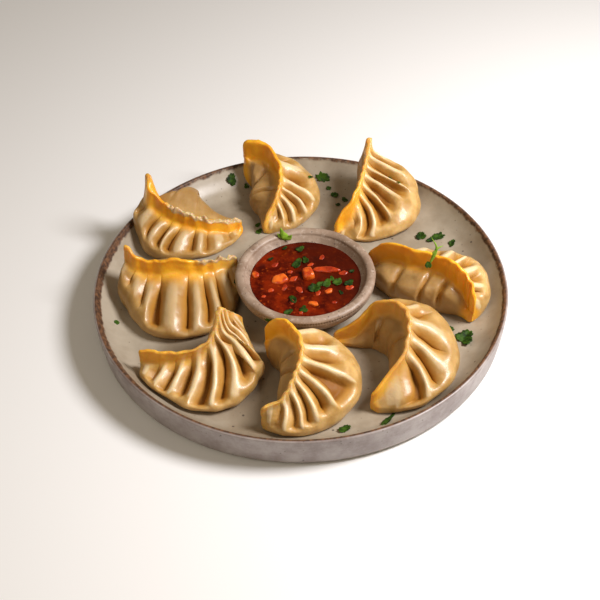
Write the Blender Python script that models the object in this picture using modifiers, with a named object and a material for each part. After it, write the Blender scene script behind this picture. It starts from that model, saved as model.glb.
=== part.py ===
"""Eight momo dumplings on a round stoneware plate, around a small bowl of chilli dip.

Every piece is a closed solid of its own: the plate, the dip bowl, the dip inside it and each dumpling.
The plate's base stands on z = 0 with its centre at the origin, and +Y runs from the front of the plate
to its back. The sizes in the tables and constants are millimetres, and the meshes are built in metres.
"""

import math

import bmesh
import bpy
import numpy as np

MM = 0.001
GAP = 0.3                  # between pieces that touch
WALL_CLEARANCE = 0.8       # from a dumpling to the plate's sloping wall, measured level

# Plate: a flat floor inside a wall that curves up to a rounded rim, with an upright outer side.
PLATE_RIM_R = 120.0
PLATE_HEIGHT = 21.0
PLATE_FLOOR_Z = 8.0
PLATE_FLOOR_R = 98.0       # where the floor starts to rise
PLATE_INNER_R = 117.3      # where the wall meets the rim
PLATE_WALL_POWER = 2.4     # how late the wall turns upward
PLATE_BASE_R = 111.0
PLATE_STEPS = 64
WALL_POINTS = 6

# Dip bowl: thick walled, narrow at the foot.
BOWL_CENTRE = (3.0, -3.0)
BOWL_RIM_R = 40.5
BOWL_HEIGHT = 22.0         # from its foot to the top of its rim
BOWL_FOOT_R = 25.0
BOWL_RIM_THICKNESS = 5.6
BOWL_LIP_DROP = 2.0        # height of the lip's rounding
BOWL_FLOOR_THICKNESS = 4.5
BOWL_HOLLOW_POWER = 0.33   # how flat the hollow's floor is
BOWL_FLARE_POWER = 1.0     # how straight the outer side runs
HOLLOW_POINTS = 6
BOWL_STEPS = 48

# Dip: fills the bowl up to this height over the table.
DIP_LEVEL = 24.5

# Dumpling wrapper.
FLANGE_HALF_THICKNESS = 1.2
STEM_EXTRA = 0.8           # added to it where the crest is a tall peak
PLEAT_DEPTH = 6.0
PLEAT_OVERLAP = 0.6        # how far a ridge leans over the next valley
END_ROUNDING = 2.0         # length over which the flange thins at its ends
CORNER_RADIUS = 4.0

# Where a section's surface passes, from the crest (0) to the middle of the base (1). The columns are the
# place down the section, the share of the reach, the share of the flange's half thickness, the share of
# the flange's height and the share of the body's height.
PLEATED_SIDE = np.array([
    (0.00, 0.00, 0.0, 0.00, 0.00),
    (0.03, 0.00, 0.8, 0.05, 0.00),
    (0.10, 0.00, 1.0, 0.45, 0.00),
    (0.18, 0.05, 1.0, 1.00, 0.01),
    (0.28, 0.34, 0.5, 1.00, 0.10),
    (0.40, 0.69, 0.2, 1.00, 0.26),
    (0.52, 0.92, 0.0, 1.00, 0.47),
    (0.64, 1.00, 0.0, 1.00, 0.70),
    (0.74, 0.97, 0.0, 1.00, 0.89),
    (0.84, 0.82, 0.0, 1.00, 1.00),
    (1.00, 0.00, 0.0, 1.00, 1.00),
])
SMOOTH_SIDE = np.array([
    (0.00, 0.00, 0.0, 0.00, 0.00),
    (0.03, 0.00, 0.8, 0.05, 0.00),
    (0.10, 0.00, 1.0, 0.45, 0.00),
    (0.18, 0.03, 1.0, 1.00, 0.00),
    (0.28, 0.45, 0.6, 1.00, 0.08),
    (0.40, 0.86, 0.2, 1.00, 0.24),
    (0.52, 1.00, 0.0, 1.00, 0.46),
    (0.64, 1.00, 0.0, 1.00, 0.68),
    (0.74, 0.94, 0.0, 1.00, 0.88),
    (0.84, 0.80, 0.0, 1.00, 1.00),
    (1.00, 0.00, 0.0, 1.00, 1.00),
])

# Where the mesh is cut: down the section, and across each pleat as a share of its width.
SECTION_CUTS = (0.0, 0.12, 0.26, 0.42, 0.58, 0.72, 0.85, 1.0)
PLEAT_CUTS = (0.0, 0.3, 0.7)

# A dumpling's seam runs from one end to the other: x, y and height of the crest, then how far the body
# reaches out on the pleated side, which is left of the seam's run, and on the smooth side.
# A valley between two pleats is its place along the seam at the crest and at the belly, the place down the
# section where it ends and the width of its pocket there.
# flange is the height of the flat band under the crest at the start, middle and end of the seam, on the
# pleated side and then on the smooth side. Over the height body the crest is a thin peak. dome is how much
# the smooth side rises over the crest.
DUMPLINGS = {
    "dumpling_1": dict(
        seam=[(-20, -46, 31, 1.5, 1.5), (-12, -50, 40, 6, 8), (-3, -60, 42, 24, 10), (0, -74, 41, 32, 12),
              (-4, -87, 36, 26, 10), (-11, -96, 28, 15, 6), (-22, -99, 24, 3, 2)],
        valleys=[(0.24, 0.22, 0.42, 2.0), (0.40, 0.37, 0.42, 2.5), (0.50, 0.46, 0.40, 1.0),
                 (0.57, 0.60, 0.55, 14.0), (0.62, 0.72, 0.52, 0.5), (0.68, 0.78, 0.58, 0.5),
                 (0.76, 0.84, 0.62, 1.0), (0.84, 0.91, 0.62, 5.0)],
        flange=[(6, 3, 3), (14, 7, 5)], body=40, seed=1),
    "dumpling_2": dict(
        seam=[(18, -38, 15, 1.5, 1.5), (31, -37, 25, 4, 7), (43, -36, 38, 15, 10), (56, -46, 43, 25, 10),
              (57, -62, 40, 28, 9), (51, -76, 32, 22, 7), (36, -89, 21, 3, 2)],
        valleys=[(0.28, 0.26, 0.40, 2.0), (0.43, 0.41, 0.36, 4.0), (0.52, 0.54, 0.36, -2.0),
                 (0.60, 0.67, 0.42, -5.0), (0.68, 0.79, 0.48, 0.0), (0.76, 0.88, 0.60, 6.0)],
        flange=[(4, 3, 7), (12, 9, 5)], body=40, seed=2),
    "dumpling_3": dict(
        seam=[(41, 24, 20, 1.5, 1.5), (51, 17, 34, 9, 12), (64, 7, 38, 20, 17), (77, -1, 39.5, 26, 16),
              (87, -9, 41, 27, 11), (95, -18, 36, 17, 6), (98, -26, 28, 2, 2)],
        valleys=[(0.28, 0.25, 0.50, 1.0), (0.45, 0.42, 0.50, 2.0), (0.60, 0.56, 0.50, 3.0),
                 (0.68, 0.68, 0.42, 4.0), (0.78, 0.80, 0.40, 4.0), (0.88, 0.90, 0.40, 2.0)],
        flange=[(4, 4, 4), (14, 10, 17)], body=37, seed=3),
    "dumpling_4": dict(
        seam=[(46, 103, 50, 2, 2), (45, 97, 44, 27, 6), (42, 86, 38, 36, 4), (38, 72, 34, 36, 4),
              (32, 62, 28, 23, 4), (22, 54, 17, 3, 1.5)],
        valleys=[(0.18, 0.20, 0.42, 4.0), (0.30, 0.38, 0.42, 1.0), (0.38, 0.53, 0.44, 4.0),
                 (0.46, 0.65, 0.40, 5.0), (0.54, 0.76, 0.46, 5.0), (0.62, 0.86, 0.60, 1.5),
                 (0.78, 0.93, 0.30, 1.0)],
        flange=[(3, 3, 11), (5, 6, 6)], body=39, seed=4),
    "dumpling_5": dict(
        seam=[(-35, 108, 43, 1.5, 1.5), (-24, 106, 44, 8, 11), (-14, 96, 40, 20, 15), (-11, 84, 36, 25, 20),
              (-13, 70, 30, 17, 17), (-22, 57, 16, 2, 1.5)],
        valleys=[(0.30, 0.36, 0.40, 1.0), (0.54, 0.62, 0.40, 4.5), (0.66, 0.74, 0.58, 1.0),
                 (0.72, 0.81, 0.60, 1.0), (0.78, 0.87, 0.62, 0.5), (0.84, 0.93, 0.40, 3.0)],
        flange=[(4, 4, 4), (14, 10, 5)], body=37, seed=5),
    "dumpling_6": dict(
        seam=[(-36, 61, 17, 1.5, 1.5), (-48, 54, 22, 11, 13), (-61, 51, 28, 17, 25), (-74, 53, 32, 22, 26),
              (-84, 57, 37, 21, 14), (-90, 61.5, 44.5, 12, 4), (-91.5, 69, 52, 2, 2)],
        valleys=[(0.12, 0.14, 0.45, 1.0), (0.27, 0.30, 0.62, 1.5), (0.36, 0.38, 0.55, 2.5),
                 (0.44, 0.50, 0.56, 2.5), (0.53, 0.58, 0.52, 2.5), (0.63, 0.70, 0.50, 1.5),
                 (0.82, 0.86, 0.50, 0.5)],
        flange=[(7, 9, 9), (1, 1, 4)], body=33, dome=7.0, seed=6),
    "dumpling_7": dict(
        seam=[(-37, 17, 26, 1.5, 1.5), (-47, 10, 31, 20, 8), (-58, 5, 33, 36, 10), (-72, 4, 36, 39, 12),
              (-86, 5, 34, 34, 12), (-96, 7, 37, 17, 8), (-101, 11, 44.5, 2.5, 3)],
        valleys=[(0.10, 0.12, 0.50, 1.0), (0.22, 0.26, 0.56, 1.0), (0.32, 0.35, 0.57, 1.0),
                 (0.42, 0.43, 0.62, 1.0), (0.59, 0.59, 0.56, 5.0), (0.70, 0.73, 0.42, -7.0),
                 (0.80, 0.83, 0.38, -7.0)],
        flange=[(7, 9, 9), (4, 4, 4)], body=33, seed=7),
    "dumpling_8": dict(
        seam=[(-33, -33, 26, 1.5, 1.5), (-38, -40, 36, 12, 4), (-42, -46, 45.5, 19, 4),
              (-44.5, -50, 45, 24, 4), (-47, -55, 37, 28, 5), (-51, -59, 32, 31, 6), (-60, -61.5, 28.5, 29, 8),
              (-74, -61, 27, 19, 8), (-88.5, -58, 27, 6, 3)],
        valleys=[(0.17, 0.15, 0.42, 0.0), (0.25, 0.28, 0.46, 0.0), (0.33, 0.42, 0.55, 0.5),
                 (0.42, 0.55, 0.54, 2.0), (0.51, 0.66, 0.60, 1.5), (0.62, 0.735, 0.60, 3.5),
                 (0.735, 0.81, 0.48, 1.0), (0.815, 0.88, 0.54, -2.0), (0.895, 0.93, 0.48, -3.0)],
        flange=[(3, 3, 8), (5, 5, 8)], body=34, seed=8),
}

# Colour, roughness.
STONEWARE = ((0.42, 0.37, 0.31), 0.35)
BOWL_CLAY = ((0.44, 0.35, 0.28), 0.55)
CHILLI_DIP = ((0.30, 0.025, 0.006), 0.18)
DOUGH = ((0.74, 0.50, 0.22), 0.38)


def clear_scene():
    for thing in list(bpy.data.objects):
        bpy.data.objects.remove(thing, do_unlink=True)


def material(name, look):
    colour, roughness = look
    made = bpy.data.materials.new(name)
    made.use_nodes = True
    shader = made.node_tree.nodes["Principled BSDF"]
    shader.inputs["Base Color"].default_value = (*colour, 1.0)
    shader.inputs["Roughness"].default_value = roughness
    shader.inputs["Metallic"].default_value = 0.0
    return made


def turned(name, profile, steps, centre, look, collection):
    """A turned solid: the profile runs from the axis over the top and down the outer side to the axis."""
    mesh = bpy.data.meshes.new(name)
    points = [(r * MM, 0.0, z * MM) for r, z in profile]
    mesh.from_pydata(points, [(i, i + 1) for i in range(len(points) - 1)], [])
    piece = bpy.data.objects.new(name, mesh)
    piece.location = (centre[0] * MM, centre[1] * MM, 0.0)
    collection.objects.link(piece)
    screw = piece.modifiers.new("Turn", "SCREW")
    screw.steps = steps
    screw.render_steps = steps
    screw.use_merge_vertices = True
    screw.merge_threshold = 0.00005
    mesh.materials.append(material(name, look))
    return piece


def arc(centre_r, centre_z, radius_r, radius_z, start, end, count):
    """Points of an elliptic arc in the profile's plane, between two angles in degrees."""
    points = []
    for i in range(count):
        angle = math.radians(start + (end - start) * i / (count - 1))
        points.append((centre_r + radius_r * math.cos(angle), centre_z + radius_z * math.sin(angle)))
    return points


def plate_top(r):
    """Height of the plate's upper surface at a distance from its axis."""
    rise = PLATE_HEIGHT - 1.0 - PLATE_FLOOR_Z
    along_wall = np.clip((r - PLATE_FLOOR_R) / (PLATE_INNER_R - PLATE_FLOOR_R), 0.0, 1.0)
    wall = PLATE_FLOOR_Z + rise * along_wall ** PLATE_WALL_POWER
    return np.where(r > PLATE_INNER_R, PLATE_HEIGHT, wall)


def resting(x, y):
    """The lowest height at which food may lie on the plate at a place."""
    return plate_top(np.hypot(x, y) + WALL_CLEARANCE) + GAP


def plate_profile():
    wall_r = [PLATE_FLOOR_R + (PLATE_INNER_R - PLATE_FLOOR_R) * i / WALL_POINTS for i in range(WALL_POINTS)]
    rim_half = (PLATE_RIM_R - PLATE_INNER_R) / 2
    profile = [(0.0, PLATE_FLOOR_Z)]
    profile += [(r, float(plate_top(r))) for r in wall_r]
    profile += arc(PLATE_RIM_R - rim_half, PLATE_HEIGHT - 1.0, rim_half, 1.0, 180, 0, 5)
    profile += [(PLATE_RIM_R - 0.3, 12.0), (PLATE_RIM_R - 1.4, 3.0), (PLATE_RIM_R - 4.0, 0.8)]
    profile += [(PLATE_BASE_R, 0.0), (0.0, 0.0)]
    return profile


def bowl_inside():
    """The hollow's surface, from the axis up to the lip."""
    floor = PLATE_FLOOR_Z + GAP + BOWL_FLOOR_THICKNESS
    depth = PLATE_FLOOR_Z + GAP + BOWL_HEIGHT - BOWL_LIP_DROP - floor
    shares = [(i / HOLLOW_POINTS) ** 2 for i in range(HOLLOW_POINTS + 1)]
    return [((BOWL_RIM_R - BOWL_RIM_THICKNESS) * s ** BOWL_HOLLOW_POWER, floor + depth * s) for s in shares]


def bowl_profile():
    rim_half = BOWL_RIM_THICKNESS / 2
    foot = PLATE_FLOOR_Z + GAP
    side = BOWL_HEIGHT - BOWL_LIP_DROP
    profile = bowl_inside()[:-1]
    profile += arc(BOWL_RIM_R - rim_half, foot + side, rim_half, BOWL_LIP_DROP, 180, 0, 6)
    for share in (0.72, 0.48, 0.24, 0.06):
        flare = math.sin(0.5 * math.pi * share) ** BOWL_FLARE_POWER
        profile.append((BOWL_FOOT_R + (BOWL_RIM_R - BOWL_FOOT_R) * flare, foot + side * share))
    profile += [(BOWL_FOOT_R - 1.0, foot), (0.0, foot)]
    return profile


def dip_profile():
    """The dip follows the bowl's hollow, one gap inside it, up to its level."""
    hollow = [(max(r - GAP, 0.0), z + GAP) for r, z in bowl_inside()]
    below = [point for point in hollow if point[1] < DIP_LEVEL - 1.0]
    edge = float(np.interp(DIP_LEVEL, [z for r, z in hollow], [r for r, z in hollow]))
    return [(0.0, DIP_LEVEL), (edge * 0.5, DIP_LEVEL), (edge, DIP_LEVEL)] + below[::-1]


def smooth(x, low, high):
    t = np.clip((x - low) / (high - low), 0.0, 1.0)
    return t * t * (3.0 - 2.0 * t)


def along(rows, t):
    """A Catmull-Rom curve through the rows, read at t from 0 to 1, which may be an array of any shape."""
    rows = np.asarray(rows, float)
    padded = np.concatenate([2 * rows[:1] - rows[1:2], rows, 2 * rows[-1:] - rows[-2:-1]])
    place = np.clip(t, 0.0, 1.0) * (len(rows) - 1)
    i = np.minimum(place.astype(int), len(rows) - 2)
    f = (place - i)[..., None]
    a, b, c, d = padded[i], padded[i + 1], padded[i + 2], padded[i + 3]
    return b + 0.5 * f * (c - a + f * (2 * a - 5 * b + 4 * c - d + f * (3 * (b - c) + d - a)))


def section(side, v):
    """Shares of reach, thickness, flange and body at the places v down a section."""
    knot = np.interp(v, side[:, 0], np.arange(len(side)))
    return along(side[:, 1:], knot / (len(side) - 1))


def unit(vectors):
    return vectors / (np.linalg.norm(vectors, axis=-1, keepdims=True) + 1e-9)


def dumpling_surface(seam, valleys, flange, body, seed, dome=0.0):
    """Points of a dumpling, in millimetres, as columns along its seam of one ring around it each."""
    chance = np.random.default_rng(seed)
    tops, bases, stops, pockets = np.array([(0.0, 0.0, 0.5, 0.0), *valleys, (1.0, 1.0, 0.5, 0.0)]).T
    pleats = len(bases) - 1
    sway = (chance.random(pleats + 1) - 0.5) * 0.40 / pleats
    lump = chance.random(pleats + 2) - 0.5

    phase = np.array([k + cut for k in range(pleats) for cut in PLEAT_CUTS] + [pleats])
    knots = np.arange(pleats + 1)
    cuts = np.array(SECTION_CUTS)
    ring = np.concatenate([cuts, cuts[-2:0:-1]])
    phase, v = np.meshgrid(phase, ring, indexing="ij")
    pleated = np.broadcast_to(np.arange(len(ring)) < len(cuts), v.shape)

    # Each column is one line of a pleat: it runs from its place at the crest to its place at the belly.
    base = np.interp(phase, knots, bases)
    top = np.interp(phase, knots, tops)
    u = base + (top - base) * (1.0 - smooth(v, 0.0, 0.55))
    u = u + np.interp(phase, knots, sway) * 4.0 * base * (1.0 - base) * np.sin(math.pi * smooth(v, 0.05, 0.75))

    x, y, crest, out, back = np.moveaxis(along(seam, u), -1, 0)
    step = 0.002
    run = unit((along(seam, np.clip(u + step, 0, 1)) - along(seam, np.clip(u - step, 0, 1)))[..., :2])
    left = np.stack([-run[..., 1], run[..., 0]], -1)

    # The flange ends in a thin edge with a round corner.
    fine = np.linspace(0.0, 1.0, 400)
    length = np.concatenate([[0.0], np.cumsum(np.hypot(*np.diff(along(seam, fine)[:, :2], axis=0).T))])
    place = np.interp(u, fine, length)
    to_end = np.minimum(place, length[-1] - place)
    thin = np.sqrt(np.clip(1.0 - (1.0 - np.clip(to_end / END_ROUNDING, 0, 1)) ** 2, 0.12, 1.0))
    corner = 1.0 - np.sqrt(np.clip(1.0 - (1.0 - np.clip(to_end / CORNER_RADIUS, 0, 1)) ** 2, 0, 1))
    floor = PLATE_FLOOR_Z + GAP
    sides = [np.interp(u, (0.0, 0.5, 1.0), heights) for heights in flange]
    wanted = np.where(pleated, *sides)
    wanted = wanted + (0.5 * (sides[0] + sides[1]) - wanted) * (1.0 - smooth(to_end, 0.0, 6.0))
    band = np.minimum(np.maximum(wanted, crest - body), 0.7 * (crest - np.maximum(floor, resting(x, y))))
    tall = crest - floor
    crest = crest - 0.12 * tall * corner
    low = floor + 0.06 * tall * corner

    shares = np.where(pleated[..., None], section(PLEATED_SIDE, v), section(SMOOTH_SIDE, v))
    reach = np.where(pleated, out, back)
    flare = 0.16 * np.maximum(crest - body, 0.0) * shares[..., 2] ** 2
    half_thickness = FLANGE_HALF_THICKNESS + STEM_EXTRA * smooth(crest, 40.0, 46.0)
    offset = (shares[..., 0] * reach + shares[..., 1] * half_thickness + flare) * thin
    sideways = np.where(pleated, offset, -offset)
    x = x + left[..., 0] * sideways
    y = y + left[..., 1] * sideways
    ground = np.maximum(low, resting(x, y))
    z = crest - shares[..., 2] * band - shares[..., 3] * (crest - band - ground)
    z = z + dome * np.sin(math.pi * u) * smooth(v, 0.15, 0.35) * (1.0 - smooth(v, 0.45, 0.70)) * ~pleated
    points = np.stack([x, y, np.maximum(z, ground)], -1)

    # Pleats: round ridges with sharp valleys that open into pockets lower down.
    across = np.gradient(points, axis=0)
    width = np.linalg.norm(across, axis=2) / np.gradient(phase, axis=0)
    number = np.clip(phase.astype(int), 0, pleats - 1)
    share = phase - number
    valley = np.where(share < 0.5, number, number + 1)
    stop = stops[valley]
    pocket = np.clip(pockets[valley] / width, 0.0, 0.3) * smooth(v, 0.16, stop)
    ridge = np.sqrt(np.clip(1.0 - (np.abs(2.0 * share - 1.0) / (1.0 - pocket)) ** 2, 0.0, 1.0))
    ends = smooth(np.minimum(u, 1.0 - u), 0.0, 0.03)
    begin = 0.21 * smooth(wanted, 4.5, 8.0) - 0.08
    fade = 1.0 - smooth(v, stop - 0.09, stop + 0.04)
    strength = smooth(v - begin, 0.0, 0.2) * fade * ends * pleated
    deep = np.minimum(PLEAT_DEPTH, 0.62 * width + 0.4 * pockets[valley])
    deep = np.minimum(np.minimum(deep, 0.85 * offset), np.minimum(0.25 * reach, 0.7 * (z - ground) + 0.5))
    around = np.roll(points, -1, 1) - np.roll(points, 1, 1)
    outward = unit(np.cross(across, around))
    points = points - outward * (deep * (1.0 - ridge) * strength)[..., None]
    points = points + unit(across) * (PLEAT_OVERLAP * ridge * strength)[..., None]

    # The crest is uneven, and nothing sinks into the plate.
    edge = (1.0 - smooth(v, 0.0, 0.14)) * ends
    points[..., 2] += 1.2 * edge * np.interp(phase, np.arange(pleats + 2), lump)
    points[..., 2] = np.maximum(points[..., 2], np.maximum(low, resting(points[..., 0], points[..., 1])))
    return points


def dumpling(name, shape, collection):
    """A loft of unlike sections along the seam, closed at both ends of the flange."""
    points = dumpling_surface(**shape)
    columns, around = points.shape[:2]
    half = around // 2
    mesh = bpy.data.meshes.new(name)
    build = bmesh.new()
    vertices = [[build.verts.new(point * MM) for point in column] for column in points]
    for near, far in zip(vertices, vertices[1:]):
        for j in range(around):
            k = (j + 1) % around
            build.faces.new((near[j], near[k], far[k], far[j]))
    for column in (vertices[0], vertices[-1]):
        build.faces.new((column[0], column[1], column[-1]))
        for j in range(1, half - 1):
            build.faces.new((column[j], column[j + 1], column[-j - 1], column[-j]))
        build.faces.new((column[half - 1], column[half], column[half + 1]))
    bmesh.ops.triangulate(build, faces=build.faces[:])
    bmesh.ops.recalc_face_normals(build, faces=build.faces[:])
    build.to_mesh(mesh)
    build.free()
    mesh.materials.append(material(name, DOUGH))
    piece = bpy.data.objects.new(name, mesh)
    collection.objects.link(piece)
    return piece


def main():
    clear_scene()
    parts = bpy.data.collections.new("momo_dumplings")
    bpy.context.scene.collection.children.link(parts)
    turned("plate", plate_profile(), PLATE_STEPS, (0.0, 0.0), STONEWARE, parts)
    turned("dip_bowl", bowl_profile(), BOWL_STEPS, BOWL_CENTRE, BOWL_CLAY, parts)
    turned("dip", dip_profile(), BOWL_STEPS, BOWL_CENTRE, CHILLI_DIP, parts)
    for name, shape in DUMPLINGS.items():
        dumpling(name, shape, parts)


main()
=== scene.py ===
"""Looks of the plate of momo dumplings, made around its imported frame.

Lengths in the constants and tables are millimetres, in the frame's own axes, and meshes are built in metres.
"""
import math
from types import SimpleNamespace

import bmesh
import bpy
import numpy as np
from mathutils import Matrix, Vector
from mathutils.bvhtree import BVHTree


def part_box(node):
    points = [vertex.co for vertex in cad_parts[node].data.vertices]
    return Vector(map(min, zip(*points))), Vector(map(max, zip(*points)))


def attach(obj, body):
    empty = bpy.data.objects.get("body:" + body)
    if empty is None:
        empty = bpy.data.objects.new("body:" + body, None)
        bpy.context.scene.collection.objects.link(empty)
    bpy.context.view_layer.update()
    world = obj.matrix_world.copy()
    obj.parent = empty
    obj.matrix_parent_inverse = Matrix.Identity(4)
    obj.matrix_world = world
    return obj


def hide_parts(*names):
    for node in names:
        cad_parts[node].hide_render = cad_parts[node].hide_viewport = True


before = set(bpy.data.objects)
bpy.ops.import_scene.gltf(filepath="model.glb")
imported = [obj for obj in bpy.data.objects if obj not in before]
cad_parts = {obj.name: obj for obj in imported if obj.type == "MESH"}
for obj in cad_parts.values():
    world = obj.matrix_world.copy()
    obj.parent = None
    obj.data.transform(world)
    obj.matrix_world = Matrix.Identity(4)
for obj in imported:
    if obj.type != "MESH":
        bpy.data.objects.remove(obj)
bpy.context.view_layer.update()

MM = 0.001

# ---------------------------------------------------------------- sizes shared with the frame
GAP = 0.3
PLATE_FLOOR_Z = 8.0
PLATE_FLOOR_R = 98.0
PLATE_INNER_R = 117.3
PLATE_WALL_POWER = 2.4
PLATE_BASE_R = 111.0
PLATE_RIM_R = (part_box("plate")[1].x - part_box("plate")[0].x) / 2 / MM
PLATE_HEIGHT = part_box("plate")[1].z / MM
GROOVE_SPACING = 1.7
GROOVE_DEPTH = 0.10
THROWING_SPACING = 6.5
THROWING_DEPTH = 0.04
BOWL_LOW, BOWL_HIGH = (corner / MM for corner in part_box("dip_bowl"))
BOWL_CENTRE = ((BOWL_LOW.x + BOWL_HIGH.x) / 2, (BOWL_LOW.y + BOWL_HIGH.y) / 2)
BOWL_RIM_R = (BOWL_HIGH.x - BOWL_LOW.x) / 2
BOWL_HEIGHT = BOWL_HIGH.z - BOWL_LOW.z
BOWL_FOOT_R = 25.0
BOWL_RIM_THICKNESS = 5.6
BOWL_LIP_DROP = 2.0
BOWL_FLOOR_THICKNESS = 4.5
BOWL_HOLLOW_POWER = 0.33
BOWL_HOLLOW_STEPS = 14
BOWL_NOTCHES = 160
DIP_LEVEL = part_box("dip")[1].z / MM

# ---------------------------------------------------------------- herbs
LEAF_SEGMENTS = 40
LEAF_RINGS = 4
LEAF_THICKNESS = 0.22
LEAF_LIFT = 0.35
BLADE_RINGS = 24
BLADE_SIDES = 10
BLADE_HALF_THICKNESS = 0.5

# ---------------------------------------------------------------- dumplings
FLANGE_HALF_THICKNESS = 1.2
STEM_EXTRA = 0.8
STEM_HEIGHTS = (40.0, 46.0)
PLEAT_DEPTH = 6.0
PLEAT_OVERLAP = 0.6
PLEAT_SWAY = 0.40
CREASE_WIDTH = 1.6
END_ROUNDING = 2.0
CORNER_RADIUS = 4.0
EDGE_WAVE = 0.6
EDGE_LUMP = 1.2
CRUMB_SIZE = 2.2
COLUMNS_PER_PLEAT = 20
SECTION_POINTS = 66
SEAM_SHARES = np.linspace(0.0, 1.0, 400)

# A side's rows are shares: of the way from crest to bottom, of the belly's reach and of the sheet's half
# thickness sideways, and of the sheet's height and of the height below it downwards.
PLEATED_SIDE = np.array([
    (0.00, 0.00, 0.0, 0.00, 0.00),
    (0.03, 0.00, 0.8, 0.05, 0.00),
    (0.10, 0.00, 1.0, 0.45, 0.00),
    (0.18, 0.05, 1.0, 1.00, 0.01),
    (0.28, 0.34, 0.5, 1.00, 0.10),
    (0.40, 0.69, 0.2, 1.00, 0.26),
    (0.52, 0.92, 0.0, 1.00, 0.47),
    (0.64, 1.00, 0.0, 1.00, 0.70),
    (0.74, 0.97, 0.0, 1.00, 0.89),
    (0.84, 0.82, 0.0, 1.00, 1.00),
    (1.00, 0.00, 0.0, 1.00, 1.00),
])
SMOOTH_SIDE = np.array([
    (0.00, 0.00, 0.0, 0.00, 0.00),
    (0.03, 0.00, 0.8, 0.05, 0.00),
    (0.10, 0.00, 1.0, 0.45, 0.00),
    (0.18, 0.03, 1.0, 1.00, 0.00),
    (0.28, 0.45, 0.6, 1.00, 0.08),
    (0.40, 0.86, 0.2, 1.00, 0.24),
    (0.52, 1.00, 0.0, 1.00, 0.46),
    (0.64, 1.00, 0.0, 1.00, 0.68),
    (0.74, 0.94, 0.0, 1.00, 0.88),
    (0.84, 0.80, 0.0, 1.00, 1.00),
    (1.00, 0.00, 0.0, 1.00, 1.00),
])

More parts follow.
